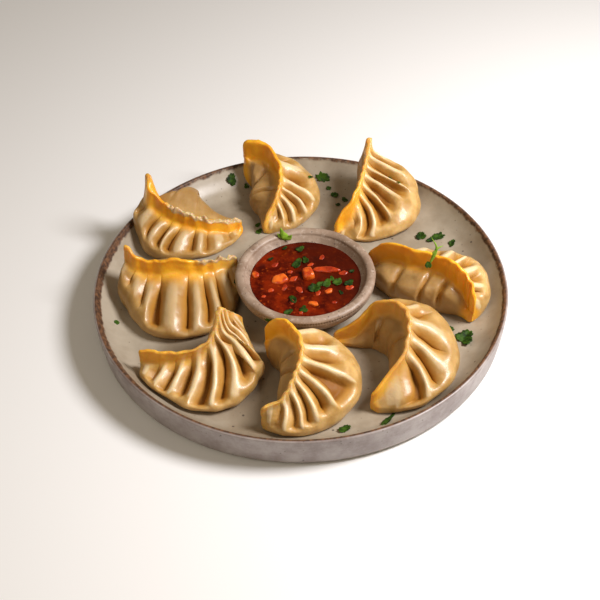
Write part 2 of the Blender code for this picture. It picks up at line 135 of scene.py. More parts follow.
DUMPLINGS = {
    "dumpling_1": dict(
        seam=[(-20, -46, 31, 1.5, 1.5), (-12, -50, 40, 6, 8), (-3, -60, 42, 24, 10), (0, -74, 41, 32, 12),
              (-4, -87, 36, 26, 10), (-11, -96, 28, 15, 6), (-22, -99, 24, 3, 2)],
        valleys=[(0.24, 0.22, 0.42, 2.0), (0.40, 0.37, 0.42, 2.5), (0.50, 0.46, 0.40, 1.0),
                 (0.57, 0.60, 0.55, 14.0), (0.62, 0.72, 0.52, 0.5), (0.68, 0.78, 0.58, 0.5),
                 (0.76, 0.84, 0.62, 1.0), (0.84, 0.91, 0.62, 5.0)],
        creases=[(0.42, 2.5), (0.58, 2.5)], flange=[(6, 3, 3), (14, 7, 5)], body=40,
        gold=(0.9, 0.8, 0.4, 0.2, 0.4), seed=1),
    "dumpling_2": dict(
        seam=[(18, -38, 15, 1.5, 1.5), (31, -37, 25, 4, 7), (43, -36, 38, 15, 10), (56, -46, 43, 25, 10),
              (57, -62, 40, 28, 9), (51, -76, 32, 22, 7), (36, -89, 21, 3, 2)],
        valleys=[(0.28, 0.26, 0.40, 2.0), (0.43, 0.41, 0.36, 4.0), (0.52, 0.54, 0.36, -2.0),
                 (0.60, 0.67, 0.42, -5.0), (0.68, 0.79, 0.48, 0.0), (0.76, 0.88, 0.60, 6.0)],
        creases=[(0.37, 2.5), (0.62, 2.5)], flange=[(4, 3, 7), (12, 9, 5)], body=40,
        gold=(0.7, 0.6, 0.35, 0.2, 0.7), brown=0.35, plump=0.6, seed=2),
    "dumpling_3": dict(
        seam=[(41, 24, 20, 1.5, 1.5), (51, 17, 34, 9, 12), (64, 7, 38, 20, 17), (77, -1, 39.5, 26, 16),
              (87, -9, 41, 27, 11), (95, -18, 36, 17, 6), (98, -26, 28, 2, 2)],
        valleys=[(0.28, 0.25, 0.50, 1.0), (0.45, 0.42, 0.50, 2.0), (0.60, 0.56, 0.50, 3.0),
                 (0.68, 0.68, 0.42, 4.0), (0.78, 0.80, 0.40, 4.0), (0.88, 0.90, 0.40, 2.0)],
        creases=[(0.31, 3.2), (0.50, 3.2), (0.66, 3.6)], flange=[(4, 4, 4), (14, 10, 17)], body=37,
        gold=(1.0, 1.0, 1.0, 1.0, 1.0), plump=0.7, seed=3),
    "dumpling_4": dict(
        seam=[(46, 103, 50, 2, 2), (45, 97, 44, 27, 6), (42, 86, 38, 36, 4), (38, 72, 34, 36, 4),
              (32, 62, 28, 23, 4), (22, 54, 17, 3, 1.5)],
        valleys=[(0.18, 0.20, 0.42, 4.0), (0.30, 0.38, 0.42, 1.0), (0.38, 0.53, 0.44, 4.0),
                 (0.46, 0.65, 0.40, 5.0), (0.54, 0.76, 0.46, 5.0), (0.62, 0.86, 0.60, 1.5),
                 (0.78, 0.93, 0.30, 1.0)],
        creases=[], flange=[(3, 3, 11), (5, 6, 6)], body=39,
        gold=(0.4, 0.4, 0.4, 0.7, 0.9), seed=4),
    "dumpling_5": dict(
        seam=[(-35, 108, 43, 1.5, 1.5), (-24, 106, 44, 8, 11), (-14, 96, 40, 20, 15), (-11, 84, 36, 25, 20),
              (-13, 70, 30, 17, 17), (-22, 57, 16, 2, 1.5)],
        valleys=[(0.30, 0.36, 0.40, 1.0), (0.54, 0.62, 0.40, 4.5), (0.66, 0.74, 0.58, 1.0),
                 (0.72, 0.81, 0.60, 1.0), (0.78, 0.87, 0.62, 0.5), (0.84, 0.93, 0.40, 3.0)],
        creases=[(0.35, 2.0), (0.65, 2.5)], flange=[(4, 4, 4), (14, 10, 5)], body=37,
        gold=(1.0, 1.0, 0.8, 0.5, 0.5), seed=5),
    "dumpling_6": dict(
        seam=[(-36, 61, 17, 1.5, 1.5), (-48, 54, 22, 11, 13), (-61, 51, 28, 17, 25), (-74, 53, 32, 22, 26),
              (-84, 57, 37, 21, 14), (-90, 61.5, 44.5, 12, 4), (-91.5, 69, 52, 2, 2)],
        valleys=[(0.12, 0.14, 0.45, 1.0), (0.27, 0.30, 0.62, 1.5), (0.36, 0.38, 0.55, 2.5),
                 (0.44, 0.50, 0.56, 2.5), (0.53, 0.58, 0.52, 2.5), (0.63, 0.70, 0.50, 1.5),
                 (0.82, 0.86, 0.50, 0.5)],
        creases=[(0.34, 0.7), (0.60, 0.9)], flange=[(7, 9, 9), (1, 1, 4)], body=33, dome=7.0, crumbly=0.6,
        gold=(0.9, 1.0, 1.0, 1.0, 0.3), brown=0.4, plump=0.8, seed=6),
    "dumpling_7": dict(
        seam=[(-37, 17, 26, 1.5, 1.5), (-47, 10, 31, 20, 8), (-58, 5, 33, 36, 10), (-72, 4, 36, 39, 12),
              (-86, 5, 34, 34, 12), (-96, 7, 37, 17, 8), (-101, 11, 44.5, 2.5, 3)],
        valleys=[(0.10, 0.12, 0.50, 1.0), (0.22, 0.26, 0.56, 1.0), (0.32, 0.35, 0.57, 1.0),
                 (0.42, 0.43, 0.62, 1.0), (0.59, 0.59, 0.56, 5.0), (0.70, 0.73, 0.42, -7.0),
                 (0.80, 0.83, 0.38, -7.0)],
        creases=[(0.50, 2.0)], flange=[(7, 9, 9), (4, 4, 4)], body=33, crumbly=0.35,
        gold=(0.3, 0.7, 1.0, 0.9, 0.5), brown=0.5, plump=0.75, seed=7),
    "dumpling_8": dict(
        seam=[(-33, -33, 26, 1.5, 1.5), (-38, -40, 36, 12, 4), (-42, -46, 45.5, 19, 4),
              (-44.5, -50, 45, 24, 4), (-47, -55, 37, 28, 5), (-51, -59, 32, 31, 6),
              (-60, -61.5, 28.5, 29, 8), (-74, -61, 27, 19, 8), (-88.5, -58, 27, 6, 3)],
        valleys=[(0.17, 0.15, 0.42, 0.0), (0.25, 0.28, 0.46, 0.0), (0.33, 0.42, 0.55, 0.5),
                 (0.42, 0.55, 0.54, 2.0), (0.51, 0.66, 0.60, 1.5), (0.62, 0.735, 0.60, 3.5),
                 (0.735, 0.81, 0.48, 1.0), (0.815, 0.88, 0.54, -2.0), (0.895, 0.93, 0.48, -3.0)],
        creases=[(0.60, 2.0)], flange=[(3, 3, 8), (5, 5, 8)], body=34,
        gold=(0.5, 0.2, 0.2, 0.5, 0.7), seed=8),
}


def smooth(x, low, high):
    """From 0 at the low value to 1 at the high one, with level ends."""
    t = np.clip((x - low) / (high - low), 0.0, 1.0)
    return t * t * (3.0 - 2.0 * t)


def along(rows, t):
    """A Catmull-Rom curve through the rows, read at t from 0 to 1, which may be an array of any shape."""
    rows = np.asarray(rows, float)
    padded = np.concatenate([2 * rows[:1] - rows[1:2], rows, 2 * rows[-1:] - rows[-2:-1]])
    place = np.clip(t, 0.0, 1.0) * (len(rows) - 1)
    i = np.minimum(place.astype(int), len(rows) - 2)
    f = (place - i)[..., None]
    a, b, c, d = padded[i], padded[i + 1], padded[i + 2], padded[i + 3]
    return b + 0.5 * f * (c - a + f * (2 * a - 5 * b + 4 * c - d + f * (3 * (b - c) + d - a)))


def section(side, v):
    """The shares of a side's rows at each share of the way from crest to bottom."""
    knot = np.interp(v, side[:, 0], np.arange(len(side)))
    return along(side[:, 1:], knot / (len(side) - 1))


def unit(vectors):
    return vectors / (np.linalg.norm(vectors, axis=-1, keepdims=True) + 1e-9)


def plate_top(r):
    """Height of the plate's upper surface at a distance from its axis."""
    rise = PLATE_HEIGHT - 1.0 - PLATE_FLOOR_Z
    along_wall = np.clip((r - PLATE_FLOOR_R) / (PLATE_INNER_R - PLATE_FLOOR_R), 0.0, 1.0)
    wall = PLATE_FLOOR_Z + rise * along_wall ** PLATE_WALL_POWER
    return np.where(r > PLATE_INNER_R, PLATE_HEIGHT, wall)


def resting(x, y):
    """The lowest height at which food may lie on the plate at a place."""
    return plate_top(np.hypot(x, y) + 0.8) + GAP


def lump_noise(points, size, seed):
    """Smooth noise from -1 to 1 with lumps of a size, at an array of points."""
    lattice = np.random.default_rng(seed).random((32, 32, 32)) * 2 - 1
    scaled = points / size + 100.0
    cell = np.floor(scaled).astype(int)
    f = scaled - cell
    f = f * f * (3 - 2 * f)
    total = 0.0
    for corner in np.ndindex(2, 2, 2):
        weight = np.prod([f[..., a] if corner[a] else 1 - f[..., a] for a in range(3)], axis=0)
        x, y, z = ((cell[..., a] + corner[a]) % 32 for a in range(3))
        total = total + weight * lattice[x, y, z]
    return total


def surface_grid(pleats):
    """The pleat number, the share of the way from crest to bottom, and the side of each point of a skin."""
    eased = 0.5 - 0.5 * np.cos(math.pi * np.arange(COLUMNS_PER_PLEAT) / COLUMNS_PER_PLEAT)
    phase = np.append((np.arange(pleats)[:, None] + eased).ravel(), float(pleats))
    cuts = np.linspace(0.0, 1.0, SECTION_POINTS)
    ring = np.concatenate([cuts, cuts[-2:0:-1]])
    pleated = np.arange(len(ring)) < len(cuts)
    phase, v = np.meshgrid(phase, ring, indexing="ij")
    return phase, v, np.broadcast_to(pleated[None], v.shape)


def rounded(distance, radius, least):
    """A quarter circle's rise to 1 over a radius."""
    return np.sqrt(np.clip(1.0 - (1.0 - np.clip(distance / radius, 0, 1)) ** 2, least, 1.0))


def plain_form(seam, flange, body, dome, u, v, pleated):
    """The dumpling before its pleats are pressed in: points, normals, and measures that the pleats use."""
    x, y, crest, out, back = np.moveaxis(along(seam, u), -1, 0)
    step = 0.002
    run = unit((along(seam, np.clip(u + step, 0, 1)) - along(seam, np.clip(u - step, 0, 1)))[..., :2])
    left = np.stack([-run[..., 1], run[..., 0]], -1)
    parts = np.diff(along(seam, SEAM_SHARES)[:, :2], axis=0)
    length = np.concatenate([[0.0], np.cumsum(np.hypot(*parts.T))])
    place = np.interp(u, SEAM_SHARES, length)
    to_end = np.minimum(place, length[-1] - place)
    corner = 1.0 - rounded(to_end, CORNER_RADIUS, 0.0)

    floor = PLATE_FLOOR_Z + GAP
    sides = [np.interp(u, (0.0, 0.5, 1.0), heights) for heights in flange]
    wanted = np.where(pleated, *sides)
    wanted = wanted + (0.5 * (sides[0] + sides[1]) - wanted) * (1.0 - smooth(to_end, 0.0, 6.0))
    band = np.minimum(np.maximum(wanted, crest - body), 0.7 * (crest - np.maximum(floor, resting(x, y))))
    tall = crest - floor
    crest = crest - 0.12 * tall * corner
    low = floor + 0.06 * tall * corner

    shares = np.where(pleated[..., None], section(PLEATED_SIDE, v), section(SMOOTH_SIDE, v))
    reach = np.where(pleated, out, back)
    flare = 0.16 * np.maximum(crest - body, 0.0) * shares[..., 2] ** 2
    half_thickness = FLANGE_HALF_THICKNESS + STEM_EXTRA * smooth(crest, *STEM_HEIGHTS)
    offset = shares[..., 0] * reach + shares[..., 1] * half_thickness + flare
    offset = offset * rounded(to_end, END_ROUNDING, 0.04)
    sideways = np.where(pleated, offset, -offset)
    x = x + left[..., 0] * sideways
    y = y + left[..., 1] * sideways
    ground = np.maximum(low, resting(x, y))
    z = crest - shares[..., 2] * band - shares[..., 3] * (crest - band - ground)
    z = z + dome * np.sin(math.pi * u) * smooth(v, 0.15, 0.35) * (1.0 - smooth(v, 0.45, 0.70)) * ~pleated
    points = np.stack([x, y, np.maximum(z, ground)], -1)
    across = np.gradient(points, axis=0)
    around = np.roll(points, -1, 1) - np.roll(points, 1, 1)
    return SimpleNamespace(points=points, across=across, outward=unit(np.cross(across, around)), left=left,
                           place=place, length=length, sheet_height=wanted, reach=reach, offset=offset,
                           clearance=z - ground, low=low, ends=smooth(np.minimum(u, 1.0 - u), 0.0, 0.03))


def pleat_shape(form, phase, v, pleated, stops, pockets, plump):
    """How deep a point lies in a valley, how near a ridge (0 to 1), and how strong the pleats are there."""
    width = np.linalg.norm(form.across, axis=2) / np.gradient(phase, axis=0)
    number = np.clip(phase.astype(int), 0, len(stops) - 2)
    share = phase - number
    nearest = np.where(share < 0.5, number, number + 1)
    stop = stops[nearest]
    pocket = np.clip(pockets[nearest] / width, 0.0, 0.8) * smooth(v, 0.16, stop)
    away = np.clip(np.abs(2.0 * share - 1.0) / (1.0 - pocket), 0.0, 1.0)
    ridge = plump * np.sqrt(1.0 - away ** 2) + (1.0 - plump) * (0.5 + 0.5 * np.cos(math.pi * away))
    begin = 0.21 * smooth(form.sheet_height, 4.5, 8.0) - 0.08
    strength = smooth(v - begin, 0.0, 0.2) * (1.0 - smooth(v, stop - 0.09, stop + 0.04)) * form.ends * pleated
    deep = np.minimum(PLEAT_DEPTH, 0.62 * width + 0.4 * pockets[nearest])
    deep = np.minimum(np.minimum(deep, 0.85 * form.offset),
                      np.minimum(0.25 * form.reach, 0.7 * form.clearance + 0.5))
    return deep * (1.0 - ridge) * strength, ridge, strength


def crease_depth(creases, form, v, pleated):
    fold = np.zeros_like(v)
    for middle, depth in creases:
        near = np.exp(-((form.place - np.interp(middle, SEAM_SHARES, form.length)) / CREASE_WIDTH) ** 2)
        fold = np.maximum(fold, near * depth)
    return fold * smooth(v, 0.14, 0.30) * (1.0 - smooth(v, 0.55, 0.72)) * ~pleated


def edge_wave(form, phase, tops):
    """A sideways wave of the crest's sheet from pleat to pleat, lower where the pleats are narrow."""
    spacing = np.diff(tops) * form.length[-1]
    closest = np.minimum(np.append(spacing, spacing[-1]), np.insert(spacing, 0, spacing[0]))
    most = np.minimum(EDGE_WAVE, 0.06 * closest)
    return np.interp(phase, np.arange(len(tops)), most) * np.cos(2.0 * math.pi * phase)


def dumpling_surface(seam, valleys, creases, flange, body, gold, seed, dome=0.0, crumbly=0.0, brown=0.0,
                     plump=0.45):
    """Points of a dumpling, in millimetres, as columns along its seam of one ring around it each.

    A seam row is x, y, height of the crest, and how far the belly reaches on the pleated and on the plain
    side. A valley between two pleats is its place along the seam at the crest and at the belly, how far down
    it ends (as a share of the way from crest to bottom) and how wide its pocket is there, or below 0 for a
    shallow valley. A crease on the plain side is its place and its depth. The flange is the height of the
    flat sheet under the crest at the seam's start, middle and end, on the pleated and then on the plain
    side; above the height `body` the crest is all sheet. Gold is the share of amber colour the sheet gets,
    its own tone with painted glow of light through the thin dough, at even steps along the seam. The plain
    side may rise in a dome, the edge may be crumbly over a share of the seam from its start, and all of it
    may be more brown. Plump pleats (1) are half round with narrow valleys between them, and others (0) are
    as wide as their valleys.
    """
    chance = np.random.default_rng(seed)
    tops, bases, stops, pockets = np.array([(0.0, 0.0, 0.5, 0.0), *valleys, (1.0, 1.0, 0.5, 0.0)]).T
    pleats = len(bases) - 1
    knots = np.arange(pleats + 1)
    sway = (chance.random(pleats + 1) - 0.5) * PLEAT_SWAY / pleats
    lump = chance.random(pleats + 2) - 0.5

    phase, v, pleated = surface_grid(pleats)
    base = np.interp(phase, knots, bases)
    u = base + (np.interp(phase, knots, tops) - base) * (1.0 - smooth(v, 0.0, 0.55))
    swaying = 4.0 * base * (1.0 - base) * np.sin(math.pi * smooth(v, 0.05, 0.75))
    u = u + np.interp(phase, knots, sway) * swaying

    form = plain_form(seam, flange, body, dome, u, v, pleated)
    outward = form.outward
    sunk, ridge, strength = pleat_shape(form, phase, v, pleated, stops, pockets, plump)
    points = form.points - outward * sunk[..., None]
    points = points + unit(form.across) * (PLEAT_OVERLAP * ridge * strength)[..., None]
    fold = crease_depth(creases, form, v, pleated)
    points = points - outward * fold[..., None]
    points = points + outward * (0.8 * lump_noise(points, 9.0, seed) * smooth(v, 0.15, 0.4))[..., None]
    uneven = 0.22 * lump_noise(points, 4.5, seed + 10) * smooth(v, 0.10, 0.25)
    points = points + outward * (uneven + 0.10 * lump_noise(points, 2.2, seed + 20))[..., None]

    edge = (1.0 - smooth(v, 0.0, 0.14)) * form.ends
    crumbs = 1.0 - smooth(u, crumbly - 0.05, crumbly + 0.05)
    points[..., 2] += EDGE_LUMP * edge * np.interp(phase, np.arange(pleats + 2), lump)
    points[..., 2] += (0.5 + 1.7 * crumbs) * edge * lump_noise(points, CRUMB_SIZE, seed + 40)
    points = points + outward * (0.8 * crumbs * edge * lump_noise(points, 2.0, seed + 60))[..., None]
    wave = edge_wave(form, phase, tops) * (1.0 - smooth(v, 0.10, 0.30)) * form.ends
    points[..., :2] += form.left * wave[..., None]
    points[..., 2] = np.maximum(points[..., 2], np.maximum(form.low, resting(points[..., 0], points[..., 1])))

    sheet = 1.0 - smooth(v, 0.12, 0.13 + 0.17 * smooth(form.sheet_height, 1.5, 6.0))
    sheet = np.maximum(sheet, 1.0 - smooth(form.reach, 2.0, 8.0))
    crumbly_edge = crumbs * (1.0 - smooth(v, 0.04, 0.10))
    values = dict(
        sheet=sheet,
        # Share of amber colour on the thin sheet: its own tone, with painted glow of light passing through
        # the thin dough.
        amber_tone_and_glow=sheet * np.interp(u, np.linspace(0.0, 1.0, len(gold)), gold) * (1.0 - crumbly_edge),
        # Depth of valleys and creases, where the dough's colour is darkened as painted shade.
        valley=np.clip((sunk + fold) / PLEAT_DEPTH, 0.0, 1.0),
        # Painted highlight on the pleats' ridge tops, and the real pale colour of the crumbly edge.
        ridge_highlight_and_crumbs=np.maximum(smooth(ridge, 0.70, 1.0) * strength, crumbly_edge),
        # Plain side, where the colour is darkened as painted shade.
        plain=smooth(v, 0.14, 0.30) * ~pleated,
        browner_share=np.full_like(v, brown),
    )
    return points, values


def new_piece(name, mesh):
    mesh.shade_smooth()
    piece = bpy.data.objects.new(name, mesh)
    bpy.context.scene.collection.objects.link(piece)
    return piece


def skin(name, points, values):
    """A mesh over a grid of points (columns of closed rings), with point attributes."""
    columns, around = points.shape[:2]
    index = np.arange(columns * around).reshape(columns, around)
    beside = np.roll(index, -1, 1)
    faces = np.stack([index[:-1], beside[:-1], beside[1:], index[1:]], -1).reshape(-1, 4).tolist()
    half = around // 2
    for column in (index[0], index[-1]):
        faces.append((column[0], column[1], column[-1]))
        faces += [(column[j], column[j + 1], column[-j - 1], column[-j]) for j in range(1, half - 1)]
        faces.append((column[half - 1], column[half], column[half + 1]))
    mesh = bpy.data.meshes.new(name)
    mesh.from_pydata((points.reshape(-1, 3) * MM).tolist(), [], faces)
    for key, value in values.items():
        layer = mesh.attributes.new(key, "FLOAT", "POINT")
        layer.data.foreach_set("value", value.reshape(-1).astype(np.float32))
    build = bmesh.new()
    build.from_mesh(mesh)
    bmesh.ops.recalc_face_normals(build, faces=build.faces[:])
    build.to_mesh(mesh)
    build.free()
    return new_piece(name, mesh)


def turned(name, profile, steps, centre, ripple):
    """A turned solid with its poles on the axis; ripple moves its points, and `sunk` says how far inwards."""
    profile = np.asarray(profile, float)
    angle = np.linspace(0.0, 2.0 * math.pi, steps, endpoint=False)
    r = profile[1:-1, 0][:, None]
    z = profile[1:-1, 1][:, None]
    dr, dz = ripple(r, z, angle[None])
    r, z = r + dr, z + dz
    rings = np.stack([centre[0] + r * np.cos(angle), centre[1] + r * np.sin(angle), z + 0.0 * angle], -1)
    points = rings.reshape(-1, 3).tolist()
    top, bottom = len(points), len(points) + 1
    points.append((centre[0], centre[1], profile[0, 1]))
    points.append((centre[0], centre[1], profile[-1, 1]))
    index = np.arange(rings.shape[0] * steps).reshape(rings.shape[0], steps)
    beside = np.roll(index, -1, 1)
    faces = np.stack([index[:-1], index[1:], beside[1:], beside[:-1]], -1).reshape(-1, 4).tolist()
    faces += [(top, index[0, j], beside[0, j]) for j in range(steps)]
    faces += [(bottom, beside[-1, j], index[-1, j]) for j in range(steps)]
    mesh = bpy.data.meshes.new(name)
    mesh.from_pydata([(x * MM, y * MM, h * MM) for x, y, h in points], [], faces)
    layer = mesh.attributes.new("sunk", "FLOAT", "POINT")
    layer.data.foreach_set("value", np.append(-np.broadcast_to(dr, r.shape), (0.0, 0.0)).astype(np.float32))
    return new_piece(name, mesh)


def arc(centre_r, centre_z, radius_r, radius_z, start, end, count):
    """Points of a profile along an ellipse, from one angle in degrees to another."""
    points = []
    for i in range(count):
        angle = math.radians(start + (end - start) * i / (count - 1))
        points.append((centre_r + radius_r * math.cos(angle), centre_z + radius_z * math.sin(angle)))
    return points


def refine(profile, step):
    """The profile with points added so that no run is longer than a step."""
    made = [profile[0]]
    for (r0, z0), (r1, z1) in zip(profile, profile[1:]):
        count = max(1, int(math.hypot(r1 - r0, z1 - z0) / step))
        made += [(r0 + (r1 - r0) * i / count, z0 + (z1 - z0) * i / count) for i in range(1, count + 1)]
    return made


# ---------------------------------------------------------------- materials
def new_material(name):
    made = bpy.data.materials.new(name)
    made.use_nodes = True
    return made, made.node_tree, made.node_tree.nodes["Principled BSDF"]


def add(tree, kind, **settings):
    node = tree.nodes.new(kind)
    for key, value in settings.items():
        setattr(node, key, value)
    return node


def plug(tree, node, inputs):
    """Gives each named input of a node its value, or a link from the socket that makes it."""
    for name, value in inputs.items():
        if isinstance(value, bpy.types.NodeSocket):
            tree.links.new(value, node.inputs[name])
        else:
            node.inputs[name].default_value = value


def own_place(tree):
    """Places in the object's own space, in metres."""
    return add(tree, "ShaderNodeTexCoord").outputs["Object"]


def noise(tree, scale, detail=3.0, roughness=0.5):
    """Noise in the object's own space; scale is lumps per metre."""
    node = add(tree, "ShaderNodeTexNoise")
    plug(tree, node, {"Vector": own_place(tree), "Scale": scale, "Detail": detail, "Roughness": roughness})
    return node.outputs["Fac"]


def step_map(tree, value, low, high, to_low=0.0, to_high=1.0):
    """A value taken smoothly from one range to another, and held beyond its ends."""
    node = add(tree, "ShaderNodeMapRange", interpolation_type="SMOOTHSTEP")
    plug(tree, node, {"Value": value, "From Min": low, "From Max": high, "To Min": to_low, "To Max": to_high})
    return node.outputs["Result"]


def maths(tree, operation, a, b):
    node = add(tree, "ShaderNodeMath", operation=operation)
    for socket, value in zip(node.inputs, (a, b)):
        if isinstance(value, (int, float)):
            socket.default_value = value
        else:
            tree.links.new(value, socket)
    return node.outputs[0]


def mix(tree, factor, a, b):
    node = add(tree, "ShaderNodeMix", data_type="RGBA")
    tree.links.new(factor, node.inputs[0])
    for socket, value in zip((node.inputs[6], node.inputs[7]), (a, b)):
        if isinstance(value, tuple):
            socket.default_value = (*value, 1.0)
        else:
            tree.links.new(value, socket)
    return node.outputs[2]


def bump(tree, shader, height, distance, strength):
    node = add(tree, "ShaderNodeBump")
    plug(tree, node, {"Height": height, "Distance": distance, "Strength": strength})
    tree.links.new(node.outputs["Normal"], shader.inputs["Normal"])


def attribute(tree, name):
    return add(tree, "ShaderNodeAttribute", attribute_name=name).outputs["Fac"]


def tint(tree, value, low, high, most, under, over):
    """One colour with another laid over it, up to the share `most` where the value is high."""
    return mix(tree, step_map(tree, value, low, high, 0.0, most), under, over)


def dough_material():
    made, tree, shader = new_material("steamed_dough")
    sheet, valley = attribute(tree, "sheet"), attribute(tree, "valley")
    body = tint(tree, noise(tree, 130.0, 4.0), 0.35, 0.7, 1.0, (0.45, 0.255, 0.070), (0.64, 0.41, 0.150))
    # Thin sheet: its own orange tone, with painted glow of light passing through the thin dough.
    pale = mix(tree, sheet, body, (0.68, 0.41, 0.12))
    # Painted shade: the plain side is made darker brown.
    pale = tint(tree, attribute(tree, "plain"), 0.0, 1.0, 0.65, pale, (0.34, 0.19, 0.065))
    # Pale cream: painted highlight on ridge tops, and the real pale colour of crumbly edges.
    pale = tint(tree, attribute(tree, "ridge_highlight_and_crumbs"), 0.2, 0.9, 0.8, pale, (0.78, 0.62, 0.37))
    # Makes the whole dumpling browner by its given share.
    pale = mix(tree, attribute(tree, "browner_share"), pale, (0.33, 0.18, 0.050))
    # Amber colour of the thin sheet: its own tone, brightened with painted glow of light through it.
    amber_tone_and_glow = tint(tree, noise(tree, 90.0), 0.35, 0.65, 1.0, (0.80, 0.34, 0.010), (0.92, 0.48, 0.025))
    colour = tint(tree, attribute(tree, "amber_tone_and_glow"), 0.05, 0.9, 1.0, pale, amber_tone_and_glow)
    # Painted shade: valleys and creases are darkened towards deep brown.
    colour = tint(tree, valley, 0.08, 0.50, 0.7, colour, (0.42, 0.185, 0.020))
    colour = tint(tree, valley, 0.5, 1.0, 0.75, colour, (0.19, 0.060, 0.006))
    plug(tree, shader, {
        "Base Color": colour,
        "Subsurface Weight": step_map(tree, sheet, 0.2, 1.0, 0.2, 0.6),
        "Subsurface Radius": (1.0, 0.45, 0.10),
        "Subsurface Scale": 0.003,
        "Roughness": step_map(tree, noise(tree, 260.0, 4.0), 0.3, 0.7, 0.36, 0.54),
        "Specular IOR Level": step_map(tree, valley, 0.2, 0.8, 0.45, 0.08),
        "Coat Weight": step_map(tree, valley, 0.2, 0.7, 0.18, 0.0),
        "Coat Roughness": 0.16,
    })
    wrinkles = maths(tree, "MULTIPLY", noise(tree, 260.0, 3.0), 1.6)
    bump(tree, shader, maths(tree, "ADD", noise(tree, 700.0, 4.0), wrinkles), 0.00025, 0.5)
    return made


def own_axes(tree):
    """The x, y and z of a point in the object's own space, in metres."""
    split = add(tree, "ShaderNodeSeparateXYZ")
    tree.links.new(own_place(tree), split.inputs[0])
    return tuple(split.outputs)


def specks(tree, scale, size, share, strength):
    """Sparse round specks: their strength inside, 0 outside."""
    cells = add(tree, "ShaderNodeTexVoronoi", feature="F1")
    plug(tree, cells, {"Vector": own_place(tree), "Scale": scale})
    near = step_map(tree, cells.outputs["Distance"], size, size * 0.5)
    split = add(tree, "ShaderNodeSeparateColor")
    tree.links.new(cells.outputs["Color"], split.inputs[0])
    chosen = step_map(tree, split.outputs[0], 1.0 - share, 1.0 - share + 0.02, 0.0, strength)
    return maths(tree, "MULTIPLY", near, chosen)


def from_rim(inset):
    """A distance from the plate's axis in metres, given in millimetres inwards from its rim."""
    return (PLATE_RIM_R - inset) * MM


def plate_material():
    made, tree, shader = new_material("plate_glaze")
    x, y, z = own_axes(tree)
    squares = maths(tree, "ADD", maths(tree, "MULTIPLY", x, x), maths(tree, "MULTIPLY", y, y))
    r = maths(tree, "SQRT", squares, 0.0)
    cloud = noise(tree, 22.0, 5.0, 0.6)
    glaze = tint(tree, cloud, 0.35, 0.65, 1.0, (0.27, 0.215, 0.15), (0.41, 0.355, 0.275))
    outer = tint(tree, noise(tree, 60.0, 5.0, 0.7), 0.3, 0.7, 1.0, (0.22, 0.17, 0.155), (0.38, 0.33, 0.31))
    colour = tint(tree, r, from_rim(1.9), from_rim(1.3), 1.0, glaze, outer)
    # The glaze breaks to bare brown along the rim's inner edge, in a band that is wider at left and right;
    # the extra width at the left is painted shadow on the rim.
    wander = maths(tree, "MULTIPLY", maths(tree, "SUBTRACT", noise(tree, 170.0, 4.0, 0.6), 0.5), 0.0030)
    widening = maths(tree, "MULTIPLY", maths(tree, "SUBTRACT", maths(tree, "MULTIPLY", x, 0.09), 0.004), x)
    ragged = maths(tree, "ADD", maths(tree, "ADD", r, wander), widening)
    edge = maths(tree, "MULTIPLY", step_map(tree, ragged, from_rim(3.2), from_rim(2.2)),
                 step_map(tree, r, from_rim(0.6), from_rim(1.4)))
    high = step_map(tree, z, (PLATE_HEIGHT - 6.0) * MM, (PLATE_HEIGHT - 4.5) * MM)
    in_band = maths(tree, "MULTIPLY", edge, high)
    brown = tint(tree, noise(tree, 500.0, 3.0), 0.35, 0.7, 1.0, (0.045, 0.018, 0.007), (0.17, 0.075, 0.03))
    colour = mix(tree, in_band, colour, brown)
    colour = mix(tree, specks(tree, 190.0, 0.17, 0.12, 0.85), colour, (0.05, 0.035, 0.03))
    colour = mix(tree, specks(tree, 420.0, 0.25, 0.10, 0.6), colour, (0.10, 0.07, 0.05))
    plug(tree, shader, {
        "Base Color": colour,
        "Roughness": step_map(tree, in_band, 0.0, 1.0, 0.40, 0.62),
        "Coat Weight": 0.10,
        "Coat Roughness": 0.2,
    })
    grain = maths(tree, "ADD", noise(tree, 120.0, 4.0), maths(tree, "MULTIPLY", noise(tree, 900.0, 3.0), 0.3))
    bump(tree, shader, grain, 0.0002, 0.5)
    return made


def clay_material():
    made, tree, shader = new_material("bowl_stoneware")
    grain = noise(tree, 380.0, 5.0, 0.7)
    colour = tint(tree, noise(tree, 70.0, 4.0), 0.3, 0.7, 1.0, (0.23, 0.15, 0.10), (0.40, 0.295, 0.22))
    colour = tint(tree, grain, 0.52, 0.68, 0.6, colour, (0.52, 0.42, 0.34))
    colour = mix(tree, specks(tree, 520.0, 0.3, 0.22, 0.8), colour, (0.09, 0.06, 0.05))
    # Painted shade in the rim's notches and grooves: sunk places are darkened.
    colour = tint(tree, attribute(tree, "sunk"), 0.25, 0.75, 0.85, colour, (0.07, 0.035, 0.018))
    plug(tree, shader, {"Base Color": colour, "Roughness": 0.5, "Coat Weight": 0.12, "Coat Roughness": 0.3})
    bump(tree, shader, grain, 0.0004, 0.7)
    return made


def dip_material():
    """An oily red dip, darkened towards one side by painted shadow."""
    made, tree, shader = new_material("chilli_dip")
    cloud = noise(tree, 110.0, 5.0, 0.65)
    colour = tint(tree, cloud, 0.35, 0.65, 1.0, (0.050, 0.002, 0.0005), (0.19, 0.014, 0.001))
    colour = tint(tree, noise(tree, 420.0, 4.0), 0.58, 0.72, 0.6, colour, (0.40, 0.06, 0.005))
    # Painted shadow of the bowl's wall: the dip darkens towards its right and back.
    x, y, _ = own_axes(tree)
    across = maths(tree, "ADD", x, maths(tree, "MULTIPLY", y, 0.6))
    colour = tint(tree, across, -0.012, 0.022, 0.85, colour, (0.045, 0.004, 0.001))
    plug(tree, shader, {
        "Base Color": colour,
        "Roughness": 0.25,
        "Specular IOR Level": 0.10,
        "Coat Weight": 0.05,
        "Coat Roughness": 0.05,
    })
    bump(tree, shader, noise(tree, 300.0, 4.0), 0.0006, 0.6)
    return made


